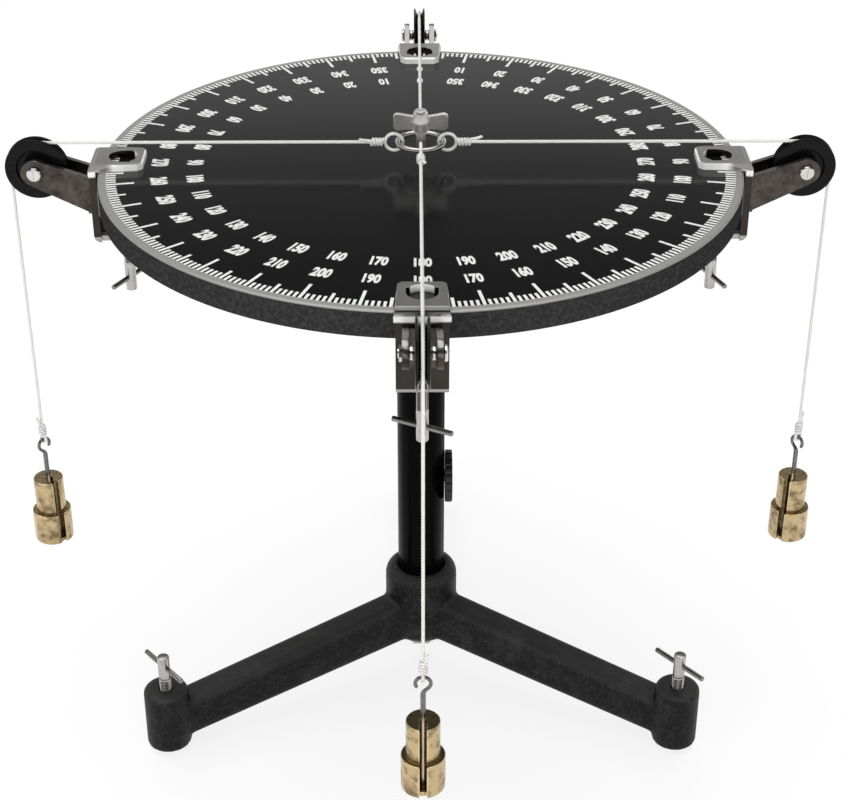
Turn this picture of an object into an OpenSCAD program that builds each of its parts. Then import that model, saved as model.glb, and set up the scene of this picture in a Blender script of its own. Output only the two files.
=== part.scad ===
// Force table: a round graduated table on a tripod, with four pulleys clamped to its rim.
// Millimetres, +Z up, origin on the floor under the pillar, front of the table towards -Y.

/* [Table] */
// Height of the disc's top face above the floor
table_h = 386; // [370:1:420]
// Diameter of the disc
disc_d = 400; // [380:1:440]
// Depth of the rim
rim_h = 17; // [15:0.5:20]
// Width of the full-depth rim
rim_w = 28; // [26:1:40]
// Chamfer on the rim's outer edges
rim_chamfer = 1.2; // [0.4:0.1:2.5]
// Thickness of the disc inside the rim
plate_t = 6; // [4:0.5:8]
// Diameter of the boss under the middle of the disc
boss_d = 72; // [66:1:90]
// Depth of that boss below the top face
boss_h = 14; // [12:0.5:15]
// Number of ribs under the disc
rib_count = 6; // [3:1:12]
// Thickness of a rib
rib_t = 6; // [4:0.5:9]
// Depth of a rib below the plate
rib_h = 6; // [3:0.5:7]

/* [Spindle] */
// Diameter of the spindle's shaft
spindle_d = 16; // [12:1:18]
// Length of the shaft below its flange
spindle_len = 236; // [225:1:245]
// Diameter of the flange under the disc
flange_d = 66; // [60:1:70]
// Thickness of the flange
flange_t = 8; // [6:0.5:10]
// Number of screws through the flange
flange_screw_count = 3; // [3:1:6]
// Diameter of a flange screw
flange_screw_d = 6; // [5:0.5:7]
// Direction of the first flange screw
flange_screw_from = 30; // [0:5:60]
// Diameter of the circle the flange screws stand on
flange_screw_pcd = 48; // [46:1:50]
// How far a flange screw reaches into the boss
flange_screw_bite = 8; // [5:0.5:9]
// Diameter of a flange screw's head
flange_head_d = 10; // [9:0.5:12]
// Depth of a flange screw's head
flange_head_t = 5; // [3:0.5:7]

/* [Pillar] */
// Diameter of the pillar
pillar_d = 32; // [26:1:34]
// Diameter of the bolt under the pillar
pillar_bolt_d = 12; // [10:1:14]
// How far that bolt reaches into the pillar
pillar_bolt_bite = 24; // [18:1:32]
// Width of that bolt's head across its corners
pillar_bolt_head_d = 21; // [19:1:24]
// Depth of that bolt's head
pillar_bolt_head_t = 8; // [6:0.5:10]

/* [Lock knob] */
// Height of the lock screw above the spindle's lower end
lock_up = 25; // [15:1:40]
// Diameter of the lock screw
lock_screw_d = 8; // [6:0.5:9]
// Thickness of the brass pad in front of the lock screw
lock_pad_t = 2.5; // [2:0.1:3]
// Diameter of the knob
knob_d = 36; // [28:1:42]
// Thickness of the knob
knob_t = 5; // [4:0.5:9]
// Number of finger hollows round the knob
knob_grips = 20; // [8:1:24]
// Radius of a finger hollow
knob_grip_r = 1.6; // [0.8:0.1:2]

/* [Tripod] */
// Diameter of the hub
hub_d = 50; // [46:1:60]
// Height of the hub
hub_h = 58; // [50:1:65]
// Height of the hub's underside above the floor
hub_clear = 23; // [20:1:32]
// Radius round the top of the hub
hub_round = 8; // [3:0.5:8]
// Chamfer round the underside of the hub
hub_base_cut = 7; // [3:0.5:8]
// Thickness of the hub's floor under the pillar
socket_floor = 17; // [10:1:20]
// Distance from the pillar to a levelling screw
leg_reach = 198; // [180:1:215]
// Width of a leg
leg_w = 23; // [18:1:28]
// Height of a leg's underside above the floor, at the hub's middle
leg_hub_z = 26; // [24:0.5:34]
// Depth of a leg at the hub
leg_hub_h = 34; // [28:1:40]
// Depth of a leg at the foot
leg_foot_h = 28; // [22:1:32]
// Height of a leg's underside above the floor, at the foot
leg_foot_z = 8; // [7:0.5:12]
// Radius along a leg's edges
leg_round = 6; // [2:0.5:8]
// Diameter of a foot boss
foot_d = 30; // [27:1:36]
// Height of a foot boss
foot_h = 45; // [42:1:50]
// Height of a foot boss's underside above the floor
foot_clear = 4; // [3:0.5:6]
// Chamfer round the top of a foot boss
foot_chamfer = 2; // [0.5:0.5:4]

/* [Levelling screws] */
// Diameter of a levelling screw
level_d = 8; // [7:0.5:10]
// Height of a levelling screw's top above the floor
level_top = 75; // [72:1:85]
// Diameter of its cross bar
level_bar_d = 3.5; // [2.5:0.1:4.5]
// Length of its cross bar
level_bar_len = 42; // [36:1:50]
// Distance from the screw's top to the cross bar
level_bar_drop = 8; // [5:0.5:10]
// Direction of the cross bars, seen from above
level_bar_turn = -50; // [-90:1:90]
// Diameter of the pad a levelling screw stands on
level_pad_d = 14; // [12:0.5:16]
// Thickness of that pad
level_pad_t = 4; // [3:0.5:5]
// Room round and over the pad in the underside of the foot
level_pad_room = 1.5; // [1:0.25:3]
// Depth of the hollow for the pad in the underside of the foot
level_pad_hollow = 5; // [4:0.5:7]

/* [Centre pin and ring] */
// Diameter of the centre pin
centre_d = 6; // [4:0.5:8]
// How far the centre pin screws into the spindle
centre_bite = 7; // [4:0.5:7]
// Height of the wings' underside above the disc
wing_z = 21.5; // [21:0.5:26]
// Span of the two wings
wing_span = 34; // [28:1:40]
// Height of a wing at its tip
wing_h = 11; // [9:0.5:14]
// Thickness of a wing
wing_t = 3; // [2:0.25:4]
// Diameter of the hub between the wings
wing_hub_d = 11; // [9:0.5:13]
// Height of the hub's crown above the wings
wing_crown = 2; // [1:0.5:3]
// How far the wings' upper edge dips at the hub
wing_dip = 2.5; // [0:0.5:4]
// How far the wings' lower edge rises at the hub
wing_rise = 1; // [0:0.5:2]
// Outer diameter of the force ring
ring_d = 32; // [28:1:36]
// Diameter of the ring's wire
ring_wire = 3.5; // [2.5:0.1:4]

/* [Strings] */
// Diameter of a string
string_d = 2.2; // [1:0.1:2.4]
// Height of a string above the disc
string_h = 13.5; // [12:0.25:14]
// Radius of the loop tied round the ring
loop_r = 5.5; // [5:0.1:6]
// Diameter of the knot outside the loop
knot_d = 5.6; // [3.5:0.1:6]
// Length of that knot
knot_len = 10; // [4:0.5:12]
// Length of a string below its pulley
drop_len = 198; // [150:1:205]

/* [Clamps] */
// Thickness of the upper jaw
jaw_t = 4.5; // [2.5:0.25:5]
// Reach of the upper jaw over the disc
jaw_reach = 28; // [27:0.5:32]
// Width of the upper jaw at its foot
jaw_foot_w = 31; // [30:0.5:36]
// Width of the upper jaw on top
jaw_top_w = 28; // [26:0.5:29.5]
// How much narrower each side is at the jaw's nose
jaw_taper = 2.2; // [0:0.1:3.5]
// Cut across the corners of the upper jaw's nose
nose_cut = 3; // [1:0.5:5]
// Chamfer along the top of the upper jaw's nose
nose_ease = 1; // [0.5:0.25:1.5]
// Clearance between the disc's edge and the back plate
back_gap = 1; // [1:0.25:3]
// Thickness of the back plate
back_t = 4.5; // [4:0.25:7]
// Width of the back plate
back_w = 29; // [26:0.5:29.5]
// Depth of the back plate below the disc's top
back_drop = 48; // [44:1:56]
// Radius on the outer bends
bend_r = 4; // [1:0.25:4]
// Depth of the full-width lip over the edge of the disc
lip_h = 4; // [4:0.25:5]
// Thickness of the lower jaw
lower_t = 6; // [5:0.5:8]
// Width of the lower jaw
lower_w = 24; // [20:1:28]
// Height of the thread boss on the lower jaw
lower_boss_h = 4; // [2:0.5:6]
// Diameter of that boss
lower_boss_d = 15; // [13:0.5:18]
// Width of the reading window
window_w = 18; // [14:0.5:19]
// Distance from the disc's edge to the window's outer side
window_in = 6; // [5:0.5:9]
// Length of the window, measured inwards
window_len = 14; // [11:0.5:15]

/* [Clamp screws] */
// Distance from the disc's edge to the screw
clamp_screw_in = 13; // [12:0.5:14]
// Diameter of a clamp screw
clamp_screw_d = 7; // [6:0.5:9]
// Length of a clamp screw
clamp_screw_len = 67; // [62:1:76]
// Diameter of its cross bar
clamp_bar_d = 3.2; // [2.4:0.1:4]
// Length of its cross bar
clamp_bar_len = 38; // [30:1:44]
// Distance from the screw's end to the cross bar
clamp_bar_up = 9; // [5:0.5:11]
// Diameter of the pressure pad
clamp_pad_d = 12; // [10:0.5:14]
// Thickness of the pressure pad
clamp_pad_t = 4; // [3:0.5:5]

/* [Screw tips] */
// Diameter of a screw's tip in its pad
tip_d = 5; // [4:0.25:5.5]
// Length of that tip
tip_len = 2; // [1.5:0.1:2.5]
// Chamfer on the ends of screws and bars
end_chamfer = 0.7; // [0.3:0.1:1]

/* [Pulleys] */
// Distance from the disc's edge to the axle
axle_out = 39.5; // [37:0.5:46]
// Diameter of an axle
axle_d = 5; // [4:0.5:6]
// Diameter of the axle's head and nut
axle_head_d = 9; // [8:0.5:11]
// Thickness of the axle's head and nut
axle_head_t = 2.3; // [1.8:0.1:4]
// Width and depth of the slot in an axle bolt's head
axle_slot = 1; // [0.6:0.1:1.2]
// Diameter of the spacer sleeves on the axle
sleeve_d = 7.5; // [7:0.25:9]
// Outer diameter of a pulley
pulley_d = 39; // [38.5:0.5:42]
// Width of a pulley
pulley_w = 8; // [7:0.5:9]
// Radius from the axle to the string's middle
pulley_pitch_r = 16.5; // [15.5:0.25:18]
// Width of the groove at the pulley's edge
groove_w = 5.6; // [4.5:0.1:6]
// Thickness of the pulley's web
pulley_web = 4.6; // [3:0.1:5]
// Depth of the rim below the groove's floor
pulley_rim = 3; // [2:0.25:4]
// Diameter of the pulley's hub
pulley_hub_d = 13; // [11:0.5:15]
// Chamfer on a pulley's outer edges
pulley_edge = 0.6; // [0.3:0.1:1]

/* [Forks] */
// Width of a fork's ear round the axle
ear_w = 17; // [14:0.5:20]
// Height of the ears and the web at the clamp
root_h = 24; // [20:0.5:25]
// Thickness of an ear
ear_t = 3.5; // [2:0.25:4]
// Gap between the ears
ear_gap = 14.5; // [14:0.25:18]
// Slope of the ears
ear_slope = 23.5; // [21:0.5:28]
// Thickness of the web between the ears
web_t = 2.5; // [2:0.25:3]
// Diameter of the rivet heads on the web
rivet_d = 6; // [4:0.5:7]
// Height of a rivet head
rivet_t = 1.6; // [1:0.1:2]
// Distance between the two rivets
rivet_step = 11; // [9:0.5:12]

/* [Hangers and weights] */
// Outer diameter of the hook
hook_d = 11; // [10:0.5:14]
// Diameter of the hook's wire
hook_wire = 2.2; // [1.6:0.1:2.4]
// Opening of the hook, as an angle
hook_open = 62; // [50:1:80]
// Length of bare stem below the hook
neck_len = 21; // [15:1:28]
// Diameter of the stem
stem_d = 3.2; // [2.4:0.1:4]
// Diameter of the base plate
base_d = 15; // [12:0.5:18]
// Thickness of the base plate
base_t = 3; // [2:0.5:5]
// Diameter of the lower weight
lower_wt_d = 26; // [24:0.5:30]
// Height of the lower weight
lower_wt_h = 23; // [18:0.5:28]
// Diameter of the upper weight
upper_wt_d = 20; // [17:0.5:23]
// Height of the upper weight
upper_wt_h = 25; // [18:0.5:28]
// Chamfer on the weights' edges
wt_chamfer = 1; // [0.4:0.1:1.5]

/* [Fits] */
// Clearance round a turning or sliding part, on the radius
run_clear = 0.05; // [0.02:0.01:0.1]
// Clearance round a fixed part, on the radius
fix_clear = 0.05; // [0.02:0.01:0.1]
// Clearance between a string and what it bends round
string_clear = 0.3; // [0.3:0.05:0.5]
// Clearance between pieces that move past each other
pass_clear = 0.3; // [0.3:0.05:0.6]
// Clearance between a stem and the slot of its weights, on each side
slot_clear = 0.5; // [0.3:0.1:0.8]

/* [Hidden] */
$fn = 64;
// Overlap that joins the shapes of one solid
join = 0.01;
// How far a cutter or a buried end runs past a face
over = 1;

// The four stations in order: name, direction, cross bar, bolt head's side, and turn of the hanger
SIDES = ["front", "right", "back", "left"];
side_turn = [-90, 0, 90, 180];
bar_turn = [63, -68, 40, 61];
head_side = [1, -1, 1, 1];
hook_turn = [0, 40, 15, -40];
slot_turn = [0, -125, 60, 130];

// The three feet in order: name and direction
FEET = ["right", "back", "left"];
foot_turn = [-30, 90, 210];

// Table and spindle
disc_r = disc_d / 2;
boss_z = table_h - boss_h;
flange_z = boss_z - flange_t;
spindle_r = spindle_d / 2;
flange_screw_len = flange_t + flange_screw_bite;

// Pillar
pillar_r = pillar_d / 2;
hub_top = hub_clear + hub_h;
pillar_z = hub_clear + socket_floor;
pillar_bore_r = spindle_r + run_clear;
// The bore goes a little deeper than the spindle reaches
bore_spare = 6;

// Lock knob, along +X
lock_z = flange_z - spindle_len + lock_up;
lock_pad_x = spindle_r + pass_clear;
lock_tip_x = lock_pad_x + lock_pad_t;
knob_x = pillar_r + pass_clear;

// Rim clamps, measured from the pillar's axis outwards
nose_x = disc_r - jaw_reach;
back_x = disc_r + back_gap;
face_x = back_x + back_t;
clamp_screw_x = disc_r - clamp_screw_in;
window_out_x = disc_r - window_in;
rim_z = table_h - rim_h;
clamp_pad_z = rim_z - clamp_pad_t;
clamp_head_z = clamp_pad_z - clamp_screw_len;

// Pulley, fork and string
axle_x = disc_r + axle_out;
axle_z = table_h + string_h - pulley_pitch_r;
string_r = string_d / 2;
string_z = table_h + string_h;
drop_x = axle_x + pulley_pitch_r;
groove_r = pulley_pitch_r - string_r - string_clear;
groove_floor_w = string_d + 2 * string_clear;
root_z = axle_z - (axle_x - face_x) * tan(ear_slope);
fork_w = ear_gap + 2 * ear_t;
sleeve_len = (ear_gap - pulley_w) / 2 - pass_clear;

// The loop is drawn tight against the inside of the ring's wire
ring_r = (ring_d - ring_wire) / 2;
loop_x = ring_r - ring_wire / 2 - string_r - string_clear + loop_r;

// Hanger, from the hook downwards
hook_top = axle_z - drop_len;
hook_r = (hook_d - hook_wire) / 2;
hook_z = hook_top - hook_d / 2;
upper_wt_z = hook_top - hook_d - neck_len - upper_wt_h;
lower_wt_z = upper_wt_z - lower_wt_h;
base_z = lower_wt_z - base_t;
slot_w = stem_d + 2 * slot_clear;
hook_loop_r = hook_wire / 2 + string_r + string_clear;

// Points along an arc about (x, y)
function arc(x, y, r, from, to, steps = 6) =
    [for (i = [0 : steps]) let (a = from + (to - from) * i / steps) [x + r * cos(a), y + r * sin(a)]];

// A rod on +Z with both ends chamfered
module rod(d, len) {
    r = d / 2;
    rotate_extrude()
        polygon([[0, 0], [r - end_chamfer, 0], [r, end_chamfer], [r, len - end_chamfer],
            [r - end_chamfer, len], [0, len]]);
}

// A T-screw on +Z: its free end at 0, its shoulder at len and its tip beyond, with a loose-fitting cross bar
module t_screw(d, len, bar_d, bar_len, bar_at, turn) {
    r = d / 2;
    color("silver") {
        difference() {
            rotate_extrude()
                polygon([[0, 0], [r - end_chamfer, 0], [r, end_chamfer], [r, len],
                    [tip_d / 2, len], [tip_d / 2, len + tip_len], [0, len + tip_len]]);
            translate([0, 0, bar_at])
                rotate([0, 90, turn])
                    cylinder(d = bar_d + 2 * fix_clear, h = 2 * d, center = true);
        }
        translate([0, 0, bar_at])
            rotate([0, 90, turn])
                translate([0, 0, -bar_len / 2])
                    rod(bar_d, bar_len);
    }
}

// A pad on +Z with a socket in one face for a screw's tip
module screw_pad(d, t, socket_up) {
    color("silver")
        difference() {
            cylinder(d = d, h = t);
            translate([0, 0, socket_up ? t - tip_len : -join])
                cylinder(d = tip_d + 2 * run_clear, h = tip_len + join);
        }
}

// The casting that stands on the levelling screws
module tripod_base() {
    color("dimgray")
        difference() {
            union() {
                translate([0, 0, hub_clear])
                    rotate_extrude()
                        union() {
                            polygon([[0, 0], [hub_d / 2 - hub_base_cut, 0], [hub_d / 2, hub_base_cut],
                                [hub_d / 2, hub_h - hub_round], [0, hub_h - hub_round]]);
                            square([hub_d / 2 - hub_round, hub_h]);
                            translate([hub_d / 2 - hub_round, hub_h - hub_round])
                                circle(r = hub_round);
                        }
                for (a = foot_turn)
                    rotate([0, 0, a]) {
                        leg();
                        translate([leg_reach, 0, foot_clear])
                            rotate_extrude()
                                polygon([[0, 0], [foot_d / 2, 0], [foot_d / 2, foot_h - foot_chamfer],
                                    [foot_d / 2 - foot_chamfer, foot_h], [0, foot_h]]);
                    }
            }
            translate([0, 0, pillar_z])
                cylinder(r = pillar_r + fix_clear, h = hub_h);
            cylinder(d = pillar_bolt_d + 2 * fix_clear, h = hub_top);
            for (a = foot_turn)
                rotate([0, 0, a])
                    translate([leg_reach, 0, 0]) {
                        cylinder(d = level_d + 2 * run_clear, h = hub_top);
                        cylinder(d = level_pad_d + 2 * level_pad_room, h = foot_clear + level_pad_hollow);
                    }
        }
}

// A leg on +X, from the hub's middle to the foot's middle: rounded edges above and below, each pair on its own slope
module leg() {
    intersection() {
        leg_edges(leg_hub_z + leg_hub_h, leg_foot_z + leg_foot_h)
            mirror([0, 1])
                leg_section();
        leg_edges(leg_hub_z, leg_foot_z)
            leg_section();
    }
}

// A section drawn out along a slope that falls from one height at the hub to another at the foot
module leg_edges(hub_z, foot_z) {
    fall = hub_z - foot_z;
    translate([0, 0, hub_z])
        rotate([90, 0, 90])
            rotate([atan(fall / leg_reach), 0, 0])
                linear_extrude(norm([fall, leg_reach]))
                    children();
}

// The lower edges of a leg's section, with tall sides
module leg_section() {
    flat = leg_w - 2 * leg_round;
    translate([-leg_w / 2, leg_round])
        square([leg_w, 2 * leg_hub_h]);
    translate([-flat / 2, 0])
        square([flat, 2 * leg_hub_h]);
    for (x = [-flat / 2, flat / 2])
        translate([x, leg_round])
            circle(r = leg_round);
}

module pillar() {
    color("dimgray")
        difference() {
            translate([0, 0, pillar_z])
                cylinder(r = pillar_r, h = flange_z - pillar_z);
            translate([0, 0, flange_z - spindle_len - bore_spare])
                cylinder(r = pillar_bore_r, h = spindle_len + 2 * bore_spare);
            translate([0, 0, pillar_z - join])
                cylinder(d = pillar_bolt_d + 2 * fix_clear, h = pillar_bolt_bite + join);
            translate([0, 0, lock_z])
                rotate([0, 90, 0])
                    cylinder(d = lock_screw_d + 2 * run_clear, h = pillar_d);
        }
}

module pillar_bolt() {
    color("gray")
        translate([0, 0, hub_clear]) {
            cylinder(d = pillar_bolt_d, h = socket_floor + pillar_bolt_bite - join);
            translate([0, 0, -pillar_bolt_head_t])
                cylinder(d = pillar_bolt_head_d, h = pillar_bolt_head_t, $fn = 6);
        }
}

module table_disc() {
    color("dimgray")
        difference() {
            union() {
                translate([0, 0, table_h])
                    rotate_extrude()
                        polygon([[0, 0], [disc_r - rim_chamfer, 0], [disc_r, -rim_chamfer],
                            [disc_r, rim_chamfer - rim_h], [disc_r - rim_chamfer, -rim_h],
                            [disc_r - rim_w, -rim_h], [disc_r - rim_w, -plate_t],
                            [boss_d / 2, -plate_t], [boss_d / 2, -boss_h], [0, -boss_h]]);
                for (i = [0 : rib_count - 1])
                    rotate([0, 0, (i + 0.5) * 360 / rib_count])
                        translate([boss_d / 2 - over, -rib_t / 2, table_h - plate_t - rib_h])
                            cube([disc_r - rim_w - boss_d / 2 + 2 * over, rib_t, rib_h + join]);
            }
            translate([0, 0, boss_z - over])
                cylinder(d = centre_d + 2 * run_clear, h = boss_h + 2 * over);
            flange_screw_places()
                translate([0, 0, boss_z - join])
                    cylinder(d = flange_screw_d + 2 * fix_clear, h = flange_screw_bite + join);
        }
}

// Puts a copy at each flange screw
module flange_screw_places() {
    for (i = [0 : flange_screw_count - 1])
        rotate([0, 0, flange_screw_from + i * 360 / flange_screw_count])
            translate([flange_screw_pcd / 2, 0, 0])
                children();
}

module table_spindle() {
    color("silver")
        difference() {
            union() {
                translate([0, 0, flange_z])
                    cylinder(d = flange_d, h = flange_t);
                translate([0, 0, flange_z - spindle_len])
                    cylinder(r = spindle_r, h = spindle_len + join);
            }
            translate([0, 0, boss_z - centre_bite])
                cylinder(d = centre_d + 2 * run_clear, h = centre_bite + join);
            flange_screw_places()
                translate([0, 0, flange_z - join])
                    cylinder(d = flange_screw_d + 2 * fix_clear, h = flange_t + 2 * join);
        }
}

module spindle_screws() {
    color("gray")
        flange_screw_places() {
            translate([0, 0, flange_z])
                cylinder(d = flange_screw_d, h = flange_screw_len - join);
            translate([0, 0, flange_z - flange_head_t])
                cylinder(d = flange_head_d, h = flange_head_t);
        }
}

// The wing screw that stands through the ring
module centre_pin() {
    wing_top = wing_z + wing_h;
    hub_r = wing_hub_d / 2;
    tip_r = wing_h / 4;
    tip_x = wing_span / 2 - tip_r;
    color("silver")
        translate([0, 0, table_h]) {
            translate([0, 0, end_chamfer - boss_h - centre_bite])
                cylinder(d = centre_d, h = boss_h + centre_bite + wing_z);
            translate([0, 0, wing_z])
                rotate_extrude()
                    polygon([[0, 0], [hub_r, 0], [hub_r, wing_h / 2], [hub_r - wing_crown / 2, wing_h],
                        [hub_r - wing_crown, wing_h + wing_crown], [0, wing_h + wing_crown]]);
            for (s = [0, 180])
                rotate([90, 0, s])
                    translate([0, wing_z, -wing_t / 2])
                        linear_extrude(wing_t)
                            union() {
                                polygon([[0, wing_rise], [tip_x, 0], [tip_x, wing_h], [0, wing_h - wing_dip]]);
                                translate([tip_x, tip_r])
                                    circle(r = tip_r);
                                translate([tip_x, wing_h - tip_r])
                                    circle(r = tip_r);
                                translate([tip_x - over, tip_r])
                                    square([tip_r + over, wing_h - 2 * tip_r]);
                            }
        }
}

module force_ring() {
    color("silver")
        translate([0, 0, string_z])
            rotate_extrude()
                translate([ring_r, 0])
                    circle(d = ring_wire);
}

// The knob and its screw, along +X
module lock_knob() {
    color("dimgray")
        translate([0, 0, lock_z])
            rotate([0, 90, 0]) {
                translate([0, 0, lock_tip_x])
                    cylinder(d = lock_screw_d, h = knob_x - lock_tip_x + join);
                difference() {
                    translate([0, 0, knob_x])
                        rod(knob_d, knob_t);
                    for (i = [0 : knob_grips - 1])
                        rotate([0, 0, i * 360 / knob_grips])
                            translate([knob_d / 2 + knob_grip_r / 2, 0, knob_x - over])
                                cylinder(r = knob_grip_r, h = knob_t + 2 * over);
                }
            }
}

module lock_pad() {
    color("goldenrod")
        translate([lock_pad_x, 0, lock_z])
            rotate([0, 90, 0])
                cylinder(d = lock_screw_d, h = lock_pad_t);
}

module level_screw(i) {
    rotate([0, 0, foot_turn[i]])
        translate([leg_reach, 0, level_top])
            mirror([0, 0, 1])
                t_screw(level_d, level_top - level_pad_t, level_bar_d, level_bar_len, level_bar_drop,
                    level_bar_turn - foot_turn[i]);
}

module level_pad(i) {
    rotate([0, 0, foot_turn[i]])
        translate([leg_reach, 0, 0])
            screw_pad(level_pad_d, level_pad_t, true);
}

// Puts a piece drawn on +X at one station
module at_side(i) {
    rotate([0, 0, side_turn[i]])
        children();
}

module clamp(i) {
    color("lightgray")
        at_side(i)
            difference() {
                union() {
                    upper_jaw();
                    back_plate();
                    lower_jaw();
                }
                window();
                translate([clamp_screw_x, 0, table_h - back_drop - over])
                    cylinder(d = clamp_screw_d + 2 * run_clear, h = lower_t + lower_boss_h + 2 * over);
            }
}

// Bevelled along its sides, narrower at the nose, and bent over the outer edge into a lip
module upper_jaw() {
    foot_y = jaw_foot_w / 2;
    top_y = jaw_top_w / 2;
    nose_y = foot_y - jaw_taper;
    translate([0, 0, table_h])
        intersection() {
            translate([nose_x, 0, 0])
                rotate([90, 0, 90])
                    linear_extrude(face_x - nose_x)
                        polygon([[-foot_y, -lip_h], [foot_y, -lip_h], [foot_y, 0], [top_y, jaw_t], [-top_y, jaw_t],
                            [-foot_y, 0]]);
            translate([0, 0, -lip_h])
                linear_extrude(lip_h + jaw_t)
                    polygon([[nose_x, nose_cut - nose_y], [nose_x + nose_cut, -nose_y], [face_x, -foot_y],
                        [face_x, foot_y], [nose_x + nose_cut, nose_y], [nose_x, nose_y - nose_cut]]);
            rotate([90, 0, 0])
                linear_extrude(jaw_foot_w, center = true)
                    polygon(concat([[nose_x, 0], [nose_x, jaw_t - nose_ease], [nose_x + nose_ease, jaw_t]],
                        arc(face_x - bend_r, jaw_t - bend_r, bend_r, 90, 0),
                        [[face_x, -lip_h], [back_x, -lip_h], [back_x, 0]]));
        }
}

module back_plate() {
    translate([0, 0, table_h])
        rotate([90, 0, 0])
            linear_extrude(back_w, center = true)
                polygon(concat([[back_x, -back_drop], [back_x, -lip_h / 2], [face_x, -lip_h / 2]],
                    arc(face_x - bend_r, bend_r - back_drop, bend_r, 0, -90)));
}

module lower_jaw() {
    translate([0, 0, table_h - back_drop]) {
        translate([clamp_screw_x, -lower_w / 2, 0])
            cube([back_x + join - clamp_screw_x, lower_w, lower_t]);
        translate([clamp_screw_x, 0, 0]) {
            cylinder(d = lower_w, h = lower_t);
            cylinder(d = lower_boss_d, h = lower_t + lower_boss_h);
        }
    }
}

// A window with a straight inner side and a round outer side
module window() {
    r = window_w / 2;
    translate([0, 0, table_h - over])
        linear_extrude(jaw_t + 2 * over)
            union() {
                translate([window_out_x - window_len, -r])
                    square([window_len - r, window_w]);
                translate([window_out_x - r, 0])
                    circle(r = r);
            }
}

module clamp_screw(i) {
    at_side(i)
        translate([clamp_screw_x, 0, clamp_head_z])
            t_screw(clamp_screw_d, clamp_screw_len, clamp_bar_d, clamp_bar_len, clamp_bar_up, bar_turn[i]);
}

module clamp_pad(i) {
    at_side(i)
        translate([clamp_screw_x, 0, clamp_pad_z])
            screw_pad(clamp_pad_d, clamp_pad_t, false);
}

// The direction from the axle to where the line from one end of the root touches an ear's round end
function touch(s) =
    let (v = [face_x - axle_x, root_z + s * root_h / 2 - axle_z],
        a = atan2(v.y, v.x) - s * acos(ear_w / 2 / norm(v)))
    [cos(a), sin(a)];

// An ear slopes down from its round end at the axle, and widens to the clamp's face
module ear() {
    r = ear_w / 2;
    axle_at = [axle_x, axle_z];
    rotate([90, 0, 0]) {
        translate(axle_at)
            cylinder(r = r, h = ear_t, center = true);
        linear_extrude(ear_t, center = true)
            polygon([axle_at + r * touch(1), axle_at + r * touch(-1),
                [face_x, root_z - root_h / 2], [face_x, root_z + root_h / 2]]);
    }
}

// Two sloping ears and the web that is riveted to the clamp
module fork(i) {
    color("darkgray")
        at_side(i)
            difference() {
                union() {
                    for (s = [-1, 1])
                        translate([0, s * (ear_gap + ear_t) / 2, 0])
                            ear();
                    translate([face_x, -fork_w / 2, root_z - root_h / 2])
                        cube([web_t, fork_w, root_h]);
                    for (s = [-1, 1])
                        translate([face_x + web_t - join, 0, root_z + s * rivet_step / 2])
                            rotate([0, 90, 0])
                                cylinder(d = rivet_d, h = rivet_t + join);
                }
                translate([axle_x, 0, axle_z])
                    rotate([90, 0, 0])
                        cylinder(d = axle_d + 2 * fix_clear, h = 2 * fork_w, center = true);
            }
}

// The bolt, its nut and the two sleeves that keep the pulley in the middle
module axle(i) {
    half = fork_w / 2;
    color("silver")
        at_side(i)
            translate([axle_x, 0, axle_z])
                rotate([head_side[i] * 90, 0, 0]) {
                    difference() {
                        union() {
                            translate([0, 0, -half - axle_head_t])
                                rod(axle_head_d, axle_head_t);
                            translate([0, 0, -half - join])
                                cylinder(d = axle_d, h = fork_w + axle_head_t);
                        }
                        translate([0, 0, -half - axle_head_t])
                            cube([axle_slot, axle_head_d, 2 * axle_slot], center = true);
                    }
                    difference() {
                        translate([0, 0, half])
                            cylinder(d = axle_head_d, h = axle_head_t - end_chamfer, $fn = 6);
                        cylinder(d = axle_d + 2 * fix_clear, h = fork_w);
                    }
                    for (s = [-1, 1])
                        translate([0, 0, s * (ear_gap - sleeve_len) / 2])
                            difference() {
                                cylinder(d = sleeve_d, h = sleeve_len, center = true);
                                cylinder(d = axle_d + 2 * fix_clear, h = ear_gap, center = true);
                            }
                }
}

module pulley(i) {
    half = pulley_w / 2;
    web = pulley_web / 2;
    rim_in = groove_r - pulley_rim;
    bore = axle_d / 2 + run_clear;
    // One half of the section, from the bore to the groove's floor
    side = [[bore, half], [pulley_hub_d / 2, half], [pulley_hub_d / 2, web], [rim_in, web], [rim_in, half],
        [pulley_d / 2 - pulley_edge, half], [pulley_d / 2, half - pulley_edge], [pulley_d / 2, groove_w / 2],
        [groove_r, groove_floor_w / 2]];
    other = [for (k = [len(side) - 1 : -1 : 0]) [side[k].x, -side[k].y]];
    color("black")
        at_side(i)
            translate([axle_x, 0, axle_z])
                rotate([90, 0, 0])
                    rotate_extrude()
                        polygon(concat(side, other));
}

// The loop round the ring, its knot, the level run and the quarter turn over the pulley
module string(i) {
    run_x = loop_x + loop_r;
    color("white")
        at_side(i)
            translate([0, 0, string_z]) {
                translate([loop_x, 0, 0])
                    rotate([90, 0, 0])
                        rotate_extrude()
                            translate([loop_r, 0])
                                circle(r = string_r);
                translate([run_x, 0, 0])
                    rotate([0, 90, 0]) {
                        rod(knot_d, knot_len);
                        cylinder(r = string_r, h = axle_x - run_x);
                    }
                translate([axle_x, 0, -pulley_pitch_r])
                    rotate([90, 0, 0])
                        rotate_extrude(angle = 90)
                            translate([pulley_pitch_r, 0])
                                circle(r = string_r);
            }
}

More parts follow.
